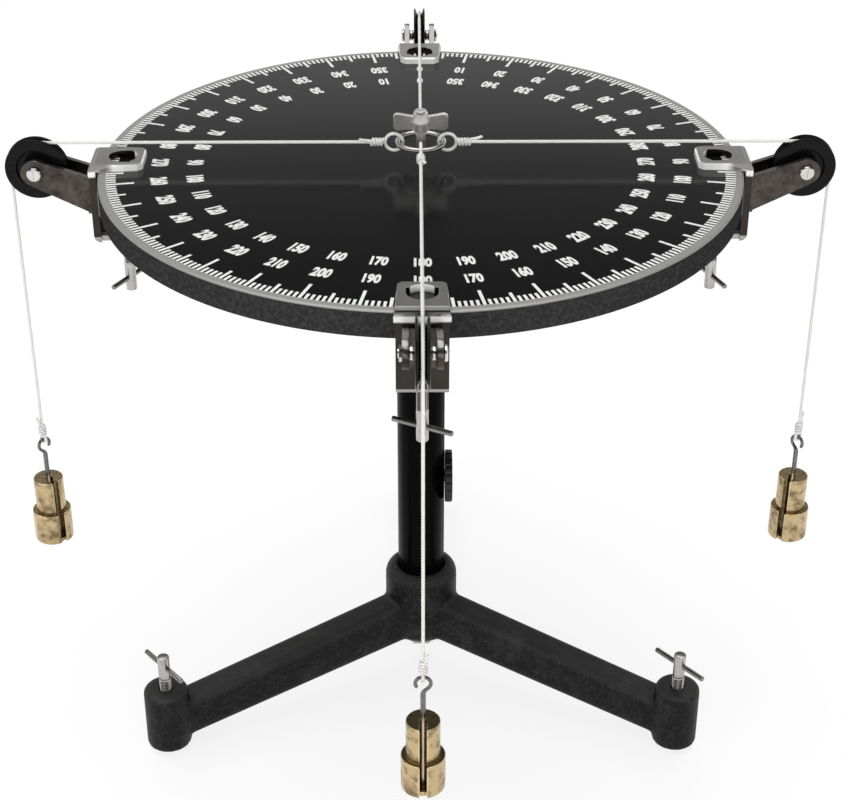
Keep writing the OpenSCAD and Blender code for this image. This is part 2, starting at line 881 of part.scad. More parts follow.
// The hanging length, with its loop round the hook
module string_drop(i) {
    loop_z = hook_top - hook_wire / 2;
    color("white")
        at_side(i)
            translate([drop_x, 0, 0]) {
                translate([0, 0, loop_z + hook_loop_r])
                    cylinder(r = string_r, h = axle_z - loop_z - hook_loop_r);
                translate([0, 0, loop_z])
                    rotate([0, 0, hook_turn[i]])
                        rotate([90, 0, 0])
                            rotate_extrude()
                                translate([hook_loop_r, 0])
                                    circle(r = string_r);
            }
}

// The hook's ring is left open beside the stem
module hanger(i) {
    color("goldenrod")
        at_side(i)
            translate([drop_x, 0, 0]) {
                translate([0, 0, base_z])
                    cylinder(d = base_d, h = base_t);
                translate([0, 0, base_z])
                    cylinder(d = stem_d, h = hook_z - hook_r - base_z);
                translate([0, 0, hook_z])
                    rotate([90, 0, 90 + hook_turn[i]])
                        rotate([0, 0, -90])
                            rotate_extrude(angle = 360 - hook_open)
                                translate([hook_r, 0])
                                    circle(d = hook_wire);
            }
}

// A round weight slotted to its middle
module slotted_weight(i, d, h, z) {
    r = d / 2;
    color("goldenrod")
        at_side(i)
            translate([drop_x, 0, z])
                difference() {
                    rotate_extrude()
                        polygon([[0, 0], [r - wt_chamfer, 0], [r, wt_chamfer], [r, h - wt_chamfer],
                            [r - wt_chamfer, h], [0, h]]);
                    translate([0, 0, -over])
                        cylinder(d = slot_w, h = h + 2 * over);
                    rotate([0, 0, slot_turn[i]])
                        translate([0, -slot_w / 2, -over])
                            cube([d, slot_w, h + 2 * over]);
                }
}

module lower_weight(i) {
    slotted_weight(i, lower_wt_d, lower_wt_h, lower_wt_z);
}

module upper_weight(i) {
    slotted_weight(i, upper_wt_d, upper_wt_h, upper_wt_z);
}

tripod_base();
pillar();
pillar_bolt();
table_disc();
table_spindle();
spindle_screws();
centre_pin();
force_ring();
lock_knob();
lock_pad();
for (i = [0 : len(FEET) - 1]) {
    level_screw(i);
    level_pad(i);
}
for (i = [0 : len(SIDES) - 1]) {
    clamp(i);
    clamp_screw(i);
    clamp_pad(i);
    fork(i);
    axle(i);
    pulley(i);
    string(i);
    string_drop(i);
    hanger(i);
    lower_weight(i);
    upper_weight(i);
}
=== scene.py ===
import math

import bmesh
import bpy
from mathutils import Matrix, Vector


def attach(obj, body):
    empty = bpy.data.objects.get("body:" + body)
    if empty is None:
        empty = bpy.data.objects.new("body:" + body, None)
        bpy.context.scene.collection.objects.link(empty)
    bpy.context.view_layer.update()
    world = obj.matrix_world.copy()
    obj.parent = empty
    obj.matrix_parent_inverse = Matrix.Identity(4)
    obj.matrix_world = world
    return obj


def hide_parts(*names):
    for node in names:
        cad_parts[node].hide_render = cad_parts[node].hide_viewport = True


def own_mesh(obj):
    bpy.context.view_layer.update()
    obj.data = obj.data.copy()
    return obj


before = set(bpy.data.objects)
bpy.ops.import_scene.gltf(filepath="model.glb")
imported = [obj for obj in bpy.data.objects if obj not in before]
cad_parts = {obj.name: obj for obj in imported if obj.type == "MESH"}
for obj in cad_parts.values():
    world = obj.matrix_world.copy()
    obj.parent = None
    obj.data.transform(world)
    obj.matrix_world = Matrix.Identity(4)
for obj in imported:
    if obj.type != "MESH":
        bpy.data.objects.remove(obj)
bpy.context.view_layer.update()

mm = 0.001
onAxis = 1e-6  # mm, nearer than this a point lies on the axis
weldReach = 0.005  # mm, for the doubled corners of a solid
sides = {"front": -90, "right": 0, "back": 90, "left": 180}  # stations, degrees round the pillar
feet = {"right": -30, "back": 90, "left": 210}
upward = Vector((0, 0, 1))
outward = Vector((1, 0, 0))
print("frame loaded:", len(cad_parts), "solids")


# Placing and meshing. Shapes are in millimetres until they become a mesh.

def turned(degrees, axis="Z"):
    return Matrix.Rotation(math.radians(degrees), 4, axis)


def shifted(x, y, z):
    return Matrix.Translation((x * mm, y * mm, z * mm))


def roundAngles(count):
    return [2 * math.pi * k / count for k in range(count)]


def swung(u, v, angle):
    return u * math.cos(angle) + v * math.sin(angle)


def toMesh(name, shape, crease=38):
    bmesh.ops.scale(shape, vec=(mm, mm, mm), verts=shape.verts)
    bmesh.ops.recalc_face_normals(shape, faces=shape.faces)
    mesh = bpy.data.meshes.new(name)
    shape.to_mesh(mesh)
    shape.free()
    mesh.shade_smooth()
    mesh.set_sharp_from_angle(angle=math.radians(crease))
    return mesh


def addPiece(name, mesh, finish, body, place=None, replaced=(), flats=False):
    piece = bpy.data.objects.new(name, mesh)
    mesh.materials.clear()
    mesh.materials.append(finish)
    bpy.context.scene.collection.objects.link(piece)
    if place:
        piece.matrix_world = place
    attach(piece, body)
    if replaced:
        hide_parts(*replaced)
    if flats:  # flat faces shade flat, and their rounded edges take up the turn
        even = piece.modifiers.new("even", "WEIGHTED_NORMAL")
        even.keep_sharp = True
    return piece


def eased(profile, radius, steps=3):
    # rounds the corners of a section of (radius, height) points; points on the axis stay
    out = []
    for i, point in enumerate(profile):
        here = Vector(point)
        back = Vector(profile[i - 1]) - here
        ahead = Vector(profile[(i + 1) % len(profile)]) - here
        if here.x < onAxis or back.angle(-ahead) < 0.05:  # on the axis, or hardly a corner
            out.append(tuple(here))
            continue
        reach = min(radius, 0.45 * back.length, 0.45 * ahead.length)
        start = here + back.normalized() * reach
        end = here + ahead.normalized() * reach
        for k in range(steps + 1):
            t = k / steps
            out.append(tuple(start * (1 - t) ** 2 + here * (2 * t * (1 - t)) + end * t ** 2))
    return out


def skin(shape, rows, closed=False):
    # faces between rows of vertices; a row of one vertex is a pole
    pairs = list(zip(rows, rows[1:]))
    if closed:
        pairs.append((rows[-1], rows[0]))
    for low, high in pairs:
        count = max(len(low), len(high))
        for k in range(count):
            n = (k + 1) % count
            if len(low) == 1:
                corners = (low[0], high[n], high[k])
            elif len(high) == 1:
                corners = (low[k], low[n], high[0])
            else:
                corners = (low[k], low[n], high[n], high[k])
            shape.faces.new(corners)


def skinCapped(shape, rows):
    skin(shape, rows)
    shape.faces.new(rows[0])
    shape.faces.new(rows[-1])


def lathe(profile, steps):
    shape = bmesh.new()
    angles = roundAngles(steps)
    rows = []
    for radius, height in profile:
        if radius < onAxis:
            rows.append([shape.verts.new((0, 0, height))])
        else:
            points = [(radius * math.cos(a), radius * math.sin(a), height) for a in angles]
            rows.append([shape.verts.new(point) for point in points])
    skin(shape, rows, closed=profile[0][0] > onAxis)
    return shape


def framesAlong(points, closed=False):
    # two normals at each point of a line, carried along without twist
    count = len(points)
    normal = None
    frames = []
    for i in range(count):
        before = points[i - 1] if i or closed else points[0]
        after = points[(i + 1) % count] if i < count - 1 or closed else points[-1]
        tangent = (after - before).normalized()
        normal = normal or tangent.orthogonal()
        normal = (normal - tangent * normal.dot(tangent)).normalized()
        frames.append((normal, tangent.cross(normal)))
    return frames


def tube(points, radii, around, closed=False, shape=None):
    shape = shape or bmesh.new()
    angles = roundAngles(around)
    rows = []
    for point, (u, v), radius in zip(points, framesAlong(points, closed), radii):
        rows.append([shape.verts.new(point + radius * swung(u, v, a)) for a in angles])
    if closed:
        skin(shape, rows, closed)
    else:
        skinCapped(shape, rows)
    return shape


def loft(outlines):
    # outlines stacked into one closed solid
    shape = bmesh.new()
    skinCapped(shape, [[shape.verts.new(point) for point in outline] for outline in outlines])
    return shape


def block(shape, low, high, turn):
    made = bmesh.ops.create_cube(shape, size=1)["verts"]
    size = [b - a for a, b in zip(low, high)]
    middle = [(a + b) / 2 for a, b in zip(low, high)]
    place = turned(turn) @ Matrix.Translation(middle) @ Matrix.Diagonal((*size, 1))
    bmesh.ops.transform(shape, matrix=place, verts=made)


def settled(holder):
    # the mesh that an object comes to; the object itself goes
    bpy.context.scene.collection.objects.link(holder)
    bpy.context.view_layer.update()
    mesh = bpy.data.meshes.new_from_object(holder.evaluated_get(bpy.context.evaluated_depsgraph_get()))
    bpy.data.objects.remove(holder)
    return mesh


def easeEdges(node, width, finish):
    # a solid carried over: welded, its edges broken by a small bevel
    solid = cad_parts[node]
    solid.data.materials.clear()
    solid.data.materials.append(finish)
    solid.modifiers.new("weld", "WELD").merge_threshold = weldReach * mm
    bevel = solid.modifiers.new("bevel", "BEVEL")
    bevel.width = width * mm
    bevel.segments = 2
    bevel.limit_method = "ANGLE"
    bevel.angle_limit = math.radians(32)
    bevel.harden_normals = True


def castCopy(node, voxel, passes):
    # a solid remeshed finely and smoothed, so that every edge and corner gets the radius of a casting
    source = bpy.data.objects.new("castSource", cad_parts[node].data.copy())
    source.modifiers.new("weld", "WELD").merge_threshold = weldReach * mm
    remesh = source.modifiers.new("remesh", "REMESH")
    remesh.mode = "VOXEL"
    remesh.voxel_size = voxel * mm
    smooth = source.modifiers.new("smooth", "SMOOTH")
    smooth.factor = 0.5
    smooth.iterations = passes
    made = settled(source)
    made.shade_smooth()
    return made


# Shader maths

class Wire:
    # a socket that can stand in a sum

    def __init__(self, finish, socket):
        self.finish = finish
        self.socket = socket

    def work(self, operation, first, second):
        return self.finish.add("Math", {"operation": operation}, {0: first, 1: second})

    def __add__(self, other):
        return self.work("ADD", self, other)

    def __radd__(self, other):
        return self.work("ADD", other, self)

    def __sub__(self, other):
        return self.work("SUBTRACT", self, other)

    def __rsub__(self, other):
        return self.work("SUBTRACT", other, self)

    def __mul__(self, other):
        return self.work("MULTIPLY", self, other)

    def __rmul__(self, other):
        return self.work("MULTIPLY", other, self)

    def __pow__(self, other):
        return self.work("POWER", self, other)

    def __gt__(self, other):
        return self.work("GREATER_THAN", self, other)

    def __lt__(self, other):
        return self.work("LESS_THAN", self, other)

    def __abs__(self):
        return self.finish.add("Math", {"operation": "ABSOLUTE"}, {0: self})


class Finish:
    # a node tree, for a material or for the world

    def __init__(self, owner):
        self.owner = owner
        owner.use_nodes = True
        self.tree = owner.node_tree
        self.tree.nodes.clear()

    def add(self, kind, settings=None, inputs=None, out=0):
        node = self.tree.nodes.new("ShaderNode" + kind)
        for key, value in (settings or {}).items():
            if key == "stops":
                while len(node.color_ramp.elements) < len(value):
                    node.color_ramp.elements.new(0.5)
                for stop, (place, shade) in zip(node.color_ramp.elements, value):
                    stop.position = place
                    stop.color = (shade, shade, shade, 1)
            else:
                setattr(node, key, value)
        for key, value in (inputs or {}).items():
            if isinstance(value, Wire):
                self.tree.links.new(value.socket, node.inputs[key])
            else:
                node.inputs[key].default_value = value
        return Wire(self, node.outputs[out]) if node.outputs else node

    def spot(self):
        return self.add("TexCoord", out="Object")

    def parts(self, vector):
        split = self.add("SeparateXYZ", inputs={0: vector}).socket.node
        return [Wire(self, socket) for socket in split.outputs]

    def fromAxis(self):
        # distance from the upright axis of the piece's own frame, and height
        x, y, z = self.parts(self.spot())
        return (x * x + y * y) ** 0.5, z

    def level(self):
        # 1 where a face looks straight up, 0 where it stands upright
        return self.parts(self.add("NewGeometry", out="Normal"))[2]

    def noise(self, scale, detail=3.0, roughness=0.55, vector=None):
        values = {"Vector": vector or self.spot(), "Scale": scale, "Detail": detail, "Roughness": roughness}
        return self.add("TexNoise", inputs=values)

    def turning(self, scale):
        # fine rings, as a lathe leaves them
        radius, z = self.fromAxis()
        return self.noise(1, 2, vector=self.add("CombineXYZ", inputs={0: radius * scale, 2: z * scale}))

    def ramp(self, value, *stops):
        return self.add("ValToRGB", {"stops": stops}, {0: value})

    def fade(self, value, low, high):
        return self.ramp(value, (low, 0), (high, 1))

    def rise(self, value, low, high):
        # as fade, eased at both ends; it falls where low is above high
        return self.add("MapRange", {"interpolation_type": "SMOOTHSTEP"}, {0: value, 1: low, 2: high})

    def edge(self, low, high):
        return self.fade(self.add("NewGeometry", out="Pointiness"), low, high)

    def tint(self, factor, first, second):
        first, second = [shade if isinstance(shade, Wire) else (*shade, 1) for shade in (first, second)]
        return self.add("Mix", {"data_type": "RGBA"}, {0: factor, 6: first, 7: second}, out=2)

    def bump(self, height, strength, depth):
        return self.add("Bump", inputs={"Height": height, "Strength": strength, "Distance": depth * mm})

    def surface(self, sockets):
        shader = self.add("BsdfPrincipled", inputs=sockets)
        self.add("OutputMaterial", inputs={0: shader})
        return self.owner


def newFinish(name):
    return Finish(bpy.data.materials.new(name))


# Finishes. Scales are per metre, heights and radii in millimetres; a pair of shades is mixed by noise.

# the dust colour also stands for painted light on the faces that look up
castLook = {
    "black": (0.003, 0.003, 0.0032), "dust": (0.05, 0.049, 0.048), "grain": (0.046, 0.046, 0.046),
    "fleck": (0.04, 0.04, 0.04), "edge": (0.06, 0.059, 0.057),
    "wearScale": 55, "patchScale": 120, "grainScale": 430, "fleckScale": 2300, "rough": 0.36, "shine": 0.12,
}


def castEnamel(look):
    # coarse black enamel with patches of dust, worn along its edges; painted light: faces that look up are
    # tinted towards the dust colour, as if lit from above
    f = newFinish("castEnamel")
    grain = f.noise(look["grainScale"], 4, 0.62)
    fleck = f.noise(look["fleckScale"], 2)
    worn = f.fade(f.noise(look["wearScale"], 5, 0.7), 0.5, 0.72)
    patch = f.ramp(f.noise(look["patchScale"], 4, 0.6), (0.38, 0.35), (0.66, 1))
    # painted light: this mask lightens the faces that look up, standing in for light from above
    upper = f.fade(f.level(), 0.2, 0.75)
    shade = f.tint(worn * 0.4 + upper * 0.55, look["black"], look["dust"])
    shade = f.tint(f.fade(grain, 0.46, 0.7) * patch * 0.6, shade, look["grain"])
    shade = f.tint(f.fade(fleck, 0.52, 0.8) * 0.45, shade, look["fleck"])
    return f.surface({
        "Base Color": f.tint(f.edge(0.5, 0.6) * 0.4, shade, look["edge"]),
        "Roughness": look["rough"] + fleck * 0.22,
        "Specular IOR Level": look["shine"],
        "Normal": f.bump(grain * 0.75 + fleck * 0.25, 0.6, 0.4),
    })


tubeLook = {
    "black": (0.0015, 0.0015, 0.0017), "dust": (0.008, 0.008, 0.008),
    "peelScale": 230, "dustScale": 1100, "rough": 0.26, "shine": 0.025,
}


def tubeEnamel(look):
    f = newFinish("tubeEnamel")
    dust = f.fade(f.noise(look["dustScale"], 3), 0.5, 0.8)
    return f.surface({
        "Base Color": f.tint(dust * 0.4, look["black"], look["dust"]),
        "Roughness": look["rough"] + dust * 0.2,
        "Specular IOR Level": look["shine"],
        "Normal": f.bump(f.noise(look["peelScale"], 2), 0.2, 0.12),
    })


tableLook = {
    "bareFrom": 194.3, "bareTo": 199.3, "bareAbove": 384.9,
    "black": ((0.002, 0.002, 0.0022), (0.004, 0.004, 0.0044)), "fleck": (0.018, 0.018, 0.018),
    "rim": (0.05, 0.05, 0.051), "metal": ((0.265, 0.265, 0.257), (0.385, 0.38, 0.367)),
    "cloudScale": 11, "sheenScale": 330, "grainScale": 420, "fleckScale": 1700, "ringScale": 1900,
    "rough": 0.42, "sheen": 0.43, "sheenRough": 0.16, "sheenIor": 2.5,
}


def tableEnamel(look):
    # satin on top, grainy round the rim, bare metal along the top's edge
    f = newFinish("tableEnamel")
    radius, z = f.fromAxis()
    upper = z > look["bareAbove"] * mm
    bare = (radius > look["bareFrom"] * mm) * upper
    side = (radius > look["bareTo"] * mm) * (1 - bare)
    turning = f.turning(look["ringScale"])
    fleck = f.noise(look["fleckScale"], 2)
    grain = f.noise(look["grainScale"], 4, 0.62)
    black = f.tint(f.noise(look["cloudScale"], 4), *look["black"])
    black = f.tint(f.fade(fleck, 0.5, 0.85) * 0.4, black, look["fleck"])
    black = f.tint(side * (0.45 + f.fade(grain, 0.42, 0.7) * 0.5), black, look["rim"])
    sheen = look["sheen"] + f.noise(look["sheenScale"], 4, 0.6) * 0.1 - 0.05
    height = turning * bare * 0.25 + fleck * (1 - bare) * 0.3 + grain * side * 2.4
    return f.surface({
        "Base Color": f.tint(bare, black, f.tint(turning, *look["metal"])),
        "Metallic": bare * 0.55,
        "Roughness": look["rough"] + fleck * 0.12,
        "Specular IOR Level": 0.0,
        "Coat Weight": upper * (1 - bare) * sheen,
        "Coat Roughness": look["sheenRough"],
        "Coat IOR": look["sheenIor"],
        "Normal": f.bump(height, 0.3, 0.12),
    })


paintLook = {"shades": ((0.58, 0.58, 0.57), (0.86, 0.86, 0.84)), "wearScale": 900, "rough": 0.62}


def scalePaint(look):
    f = newFinish("scalePaint")
    worn = f.fade(f.noise(look["wearScale"], 4, 0.7), 0.3, 0.6)
    return f.surface({
        "Base Color": f.tint(worn, *look["shades"]),
        "Roughness": look["rough"] - worn * 0.12,
    })


platingLooks = {
    "nickel": {"shades": ((0.54, 0.53, 0.515), (0.37, 0.36, 0.345)), "rough": 0.17},
    "darkSteel": {"shades": ((0.30, 0.295, 0.285), (0.15, 0.147, 0.142)), "rough": 0.24},
    "wingPlate": {"shades": ((0.84, 0.83, 0.80), (0.52, 0.51, 0.49)), "rough": 0.3},
    "plainSteel": {"shades": ((0.50, 0.49, 0.475), (0.30, 0.29, 0.28)), "rough": 0.26},
    "boltPlate": {"shades": ((0.78, 0.77, 0.74), (0.55, 0.54, 0.51)), "rough": 0.15},
}


def plating(name, look):
    f = newFinish(name)
    smear = f.noise(75, 5, 0.65)
    return f.surface({
        "Base Color": f.tint(f.fade(smear, 0.35, 0.7), *look["shades"]),
        "Metallic": 1.0,
        "Roughness": look["rough"] + smear * 0.14,
        "Normal": f.bump(f.noise(850, 3), 0.12, 0.02),
    })


clampLook = {
    # painted reflection: the dark shades given to the back of the clamp
    "darkBackReflection": ((0.02, 0.0172, 0.0155), (0.07, 0.0615, 0.055)),
    "plate": ((0.46, 0.455, 0.44), (0.34, 0.335, 0.325)),
    # painted highlight on the jaw's sides (the pale shade, less metallic), painted shade on the slope round
    # its outer end
    "end": (0.46, 0.455, 0.44), "endSlopeShade": (0.11, 0.109, 0.106), "pale": (0.9, 0.895, 0.88), "paleness": 0.8,
    "edgeTo": 341.5, "darkReflectionTo": 383.0, "brightFrom": 384.6, "endAbove": (385.9, 386.5),
    "endBeyond": (189, 195), "windowFrom": 179, "windowTo": 195, "windowHalf": 9.6,
    "smearScale": 60, "rough": 0.22,
}


def clampPlating(look):
    # nickel plate, grey on top of the upper jaw and on the upright faces round its outer end, with the plate
    # colour kept along the bottom. Painted highlight: the sides and nose of the upper jaw are painted pale.
    # Painted shade: dark in the window and on the slope round the outer end. Painted reflection: dark down
    # the back.
    f = newFinish("clampPlating")
    x, y, z = f.parts(f.spot())
    radius = (x * x + y * y) ** 0.5
    beside = f.add("Math", {"operation": "MINIMUM"}, {0: abs(x), 1: abs(y)})  # from the station's own line
    level = f.level()
    smear = f.noise(look["smearScale"], 5, 0.65)
    # painted shade: the walls of the window get the dark colour
    window = (radius > look["windowFrom"] * mm) * (radius < look["windowTo"] * mm)
    window = window * (beside < look["windowHalf"] * mm) * (level < 0.7)
    # painted reflection: below this height the plating is painted dark
    upper = f.rise(z + smear * 2 * mm, look["darkReflectionTo"] * mm, look["brightFrom"] * mm)
    end = f.rise(z, *[height * mm for height in look["endAbove"]]) * (level < 0.97)
    end = end * f.rise(radius, *[reach * mm for reach in look["endBeyond"]])
    # painted highlight: the sides and nose of the upper jaw are painted pale and less metallic
    side = f.rise(level, 0.97, 0.75) * upper * (1 - window) * (1 - end)
    bright = (upper + (z < look["edgeTo"] * mm)) * (1 - window)
    # painted shade: the slope round the outer end is painted dark
    endPlate = f.tint(f.rise(level, 0.2, 0.5), look["end"], look["endSlopeShade"])
    plate = f.tint(end, f.tint(smear, *look["plate"]), endPlate)
    shade = f.tint(bright, f.tint(smear, *look["darkBackReflection"]), plate)
    return f.surface({
        "Base Color": f.tint(side, shade, look["pale"]),
        "Metallic": 1 - side * look["paleness"],
        "Roughness": look["rough"] + smear * 0.14 + side * 0.1,
        "Normal": f.bump(f.noise(800, 3), 0.12, 0.02),
    })


forkLook = {
    "dark": ((0.035, 0.031, 0.029), (0.13, 0.112, 0.102)), "upFacingTone": (0.25, 0.242, 0.23),
    "smearScale": 90, "rough": 0.2,
}


def forkPlating(look):
    # dark sheet, lighter on the faces that look up
    f = newFinish("forkPlating")
    smear = f.noise(look["smearScale"], 5, 0.68)
    dark = f.tint(f.fade(smear, 0.35, 0.7), *look["dark"])
    return f.surface({
        "Base Color": f.tint(f.rise(f.level(), 0.12, 0.5), dark, look["upFacingTone"]),
        "Metallic": 1.0,
        "Roughness": look["rough"] + smear * 0.16,
        "Normal": f.bump(f.noise(900, 3), 0.14, 0.02),
    })


hangerLook = {
    # the bright shades paint light onto the stem inside the weights' slot
    "dark": ((0.12, 0.117, 0.115), (0.26, 0.255, 0.25)), "bright": ((0.82, 0.81, 0.78), (0.62, 0.61, 0.58)),
    "darkFrom": 158, "litStemTo": 151, "rubScale": 300, "rough": 0.2,
}


def hangerSteel(look):
    # dark bent wire above; the turned stem among the weights is painted bright, painted light against the
    # shade of the weights' slot
    f = newFinish("hangerSteel")
    z = f.parts(f.spot())[2]
    rub = f.noise(look["rubScale"], 4)
    # painted light: below this height the stem gets the bright shades
    stem = f.rise(z, look["darkFrom"] * mm, look["litStemTo"] * mm)
    return f.surface({
        "Base Color": f.tint(stem, f.tint(rub, *look["dark"]), f.tint(rub, *look["bright"])),
        "Metallic": 1.0,
        "Roughness": look["rough"] + rub * 0.14,
        "Normal": f.bump(f.noise(1500, 2), 0.1, 0.02),
    })


brassLook = {
    "bright": (0.54, 0.40, 0.21), "tarnish": (0.11, 0.062, 0.022), "edge": (0.88, 0.74, 0.48),
    "tarnishScale": 130, "ringScale": 2600, "rough": 0.17,
}


def turnedBrass(look):
    f = newFinish("turnedBrass")
    turning = f.turning(look["ringScale"])
    tarnish = f.fade(f.noise(look["tarnishScale"], 5, 0.7), 0.46, 0.64)
    shade = f.tint(tarnish, look["bright"], look["tarnish"])
    return f.surface({
        "Base Color": f.tint(f.edge(0.51, 0.58) * 0.7, shade, look["edge"]),
        "Metallic": 1.0,
        "Roughness": look["rough"] + turning * 0.13 + tarnish * 0.14,
        "Normal": f.bump(turning, 0.22, 0.03),
    })


wheelLook = {
    "black": (0.003, 0.003, 0.0033), "dust": (0.013, 0.0125, 0.012),
    "dustScale": 700, "ringScale": 1500, "rough": 0.14, "shine": 0.13,
}


def pulleyBlack(look):
    f = newFinish("pulleyBlack")
    dust = f.fade(f.noise(look["dustScale"], 4, 0.65), 0.5, 0.85)
    return f.surface({
        "Base Color": f.tint(dust, look["black"], look["dust"]),
        "Roughness": look["rough"] + dust * 0.2,
        "Specular IOR Level": look["shine"],
        "Normal": f.bump(f.turning(look["ringScale"]), 0.08, 0.02),
    })


knobLook = {
    "shades": ((0.007, 0.007, 0.007), (0.018, 0.0175, 0.017)), "rubScale": 160, "rough": 0.3, "shine": 0.34,
}


def knobBlack(look):
    f = newFinish("knobBlack")
    rub = f.noise(look["rubScale"], 4)
    return f.surface({
        "Base Color": f.tint(rub, *look["shades"]),
        "Roughness": look["rough"] + rub * 0.2,
        "Specular IOR Level": look["shine"],
        "Normal": f.bump(f.noise(1300, 2), 0.12, 0.03),
    })


cordLook = {
    "shades": ((0.62, 0.61, 0.59), (0.84, 0.84, 0.82)), "grime": (0.56, 0.545, 0.52),
    "grimeScale": 140, "fibreScale": 2600, "rough": 0.92, "shine": 0.2,
}


def cottonCord(look):
    f = newFinish("cottonCord")
    fibre = f.noise(look["fibreScale"], 3, 0.6)
    grime = f.fade(f.noise(look["grimeScale"], 3), 0.5, 0.85)
    return f.surface({
        "Base Color": f.tint(grime * 0.4, f.tint(fibre, *look["shades"]), look["grime"]),
        "Roughness": look["rough"],
        "Specular IOR Level": look["shine"],
        "Normal": f.bump(fibre, 0.5, 0.12),
    })


platings = {name: plating(name, look) for name, look in platingLooks.items()}
brass = turnedBrass(brassLook)
print("shared finishes mixed")


# The camera, as the photograph was taken

photoView = {
    "place": (-4.4, -1085.5, 855.1), "turn": -0.34, "down": 30.59, "lens": 79.8, "sensor": 36,
    "nearest": 0.02, "furthest": 60,
}


def addCamera(view):
    camera = bpy.data.objects.new("photoCamera", bpy.data.cameras.new("photoCamera"))
    camera.data.lens = view["lens"]
    camera.data.sensor_width = view["sensor"]
    camera.data.clip_start = view["nearest"]
    camera.data.clip_end = view["furthest"]
    camera.matrix_world = shifted(*view["place"]) @ turned(view["turn"]) @ turned(90 - view["down"], "X")
    bpy.context.scene.collection.objects.link(camera)
    bpy.context.scene.camera = camera


addCamera(photoView)
print("camera placed")


# The four strings: a level run over the disc and the pulley, and a drop to the hanger

cordKit = {
    "diameter": 2.2, "strands": 3, "strandRadius": 0.56, "strandOut": 0.53, "lay": 6.0,
    "step": 0.8, "around": 7, "height": 399.5, "loopMiddle": 16.6, "loopRadius": 5.5,
    "axleOut": 239.5, "axleHeight": 383, "pitchRadius": 16.5, "bendSteps": 40,
    "hookTop": 183.9, "hookLoopRadius": 2.5, "lift": 60,
    "knotRadius": 1.8, "knotLength": 8, "knotTurns": 4, "knotThin": 0.9, "knotSteps": 60,
    "ringKnotOff": 1.0, "hookKnotOff": 0.4, "tail": 7, "tailSteps": 8, "tailLift": 0.05,
}
hookTurn = {"front": 0, "right": 40, "back": 15, "left": -40}
dropOut = cordKit["axleOut"] + cordKit["pitchRadius"]


def evenly(start, end, step):
    count = max(2, round((end - start).length / step))
    return [start.lerp(end, k / count) for k in range(count + 1)]


def ringPoints(middle, across, radius, step):
    # a ring in the plane of a level direction and the vertical
    count = round(2 * math.pi * radius / step)
    return [middle + radius * swung(across, upward, a) for a in roundAngles(count)]


def knotPoints(start, ahead, kit):
    # wraps round the cord, then a short tail beside it
    u = ahead.orthogonal().normalized()
    v = ahead.cross(u)
    points = []
    for k in range(kit["knotSteps"] + 1):
        t = k / kit["knotSteps"]
        wrap = kit["knotRadius"] * swung(u, v, 2 * math.pi * kit["knotTurns"] * t)
        points.append(start + ahead * (kit["knotLength"] * t) + wrap)
    away = (points[-1] - start - ahead * kit["knotLength"]).normalized()
    for k in range(1, kit["tailSteps"] + 1):
        points.append(points[-1] + ahead * (kit["tail"] / kit["tailSteps"]) + away * (kit["tailLift"] * k))
    return points


def twistedCord(points, kit, closed=False, shape=None, thin=1.0):
    shape = shape or bmesh.new()
    frames = framesAlong(points, closed)
    ends = points + points[:1] if closed else points
    steps = [(b - a).length for a, b in zip(ends, ends[1:])]
    turns = sum(steps) / kit["lay"]
    turns = max(1, round(turns)) if closed else turns
    for strand in range(kit["strands"]):
        line = []
        gone = 0
        for i, (point, (u, v)) in enumerate(zip(points, frames)):
            a = 2 * math.pi * (strand / kit["strands"] + turns * gone / sum(steps))
            line.append(point + kit["strandOut"] * thin * swung(u, v, a))
            gone += steps[i] if i < len(steps) else 0
        tube(line, [kit["strandRadius"] * thin] * len(line), kit["around"], closed, shape)
    return shape


def tiedLoop(name, ring, knot, kit):
    shape = twistedCord(ring, kit, closed=True)
    return toMesh(name, twistedCord(knot, kit, shape=shape, thin=kit["knotThin"]))


def declare(line, place):
    path = [place @ (point * mm) for point in line]
    length = sum((b - a).length for a, b in zip(path, path[1:]))


def addStrings(kit, finish):
    ringSide = upward * kit["height"] + outward * kit["loopMiddle"]
    runFrom = upward * kit["height"] + outward * (kit["loopMiddle"] + kit["loopRadius"])
    axle = Vector((kit["axleOut"], 0, kit["axleHeight"]))
    quarter = [math.pi / 2 * k / kit["bendSteps"] for k in range(1, kit["bendSteps"] + 1)]
    bend = [axle + kit["pitchRadius"] * swung(upward, outward, a) for a in quarter]
    run = evenly(runFrom, axle + upward * kit["pitchRadius"], kit["step"]) + bend
    ringLoop = ringPoints(ringSide, outward, kit["loopRadius"], kit["step"])
    ringKnot = knotPoints(runFrom + outward * kit["ringKnotOff"], outward, kit)
    hookTop = Vector((dropOut, 0, kit["hookTop"]))
    dropTo = hookTop + upward * kit["hookLoopRadius"]
    drop = evenly(Vector((dropOut, 0, kit["axleHeight"])), dropTo, kit["step"])
    hookKnot = knotPoints(dropTo + upward * kit["hookKnotOff"], upward, kit)
    for side, angle in sides.items():
        place = turned(angle)
        station, hanger = "station_" + side, "hanger_" + side
        mesh = tiedLoop("stringLoop", ringLoop, ringKnot, kit)
        loop = addPiece("stringLoop_" + side, mesh, finish, station, place)
        across = turned(hookTurn[side]) @ outward
        hookLoop = ringPoints(hookTop, across, kit["hookLoopRadius"], kit["step"] / 2)
        mesh = tiedLoop("stringHookLoop", hookLoop, hookKnot, kit)
        lowLoop = addPiece("stringHookLoop_" + side, mesh, finish, hanger, place)
        mesh = toMesh("stringRun", twistedCord(run, kit))
        piece = addPiece("stringRun_" + side, mesh, finish, station, place, ["string_" + side])
        declare(run, place)
        mesh = toMesh("stringDrop", twistedCord(drop, kit))
        piece = addPiece("stringDrop_" + side, mesh, finish, station, place, ["string_drop_" + side])
        declare(drop, place)
        place @ (drop[0] * mm)
        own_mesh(piece)


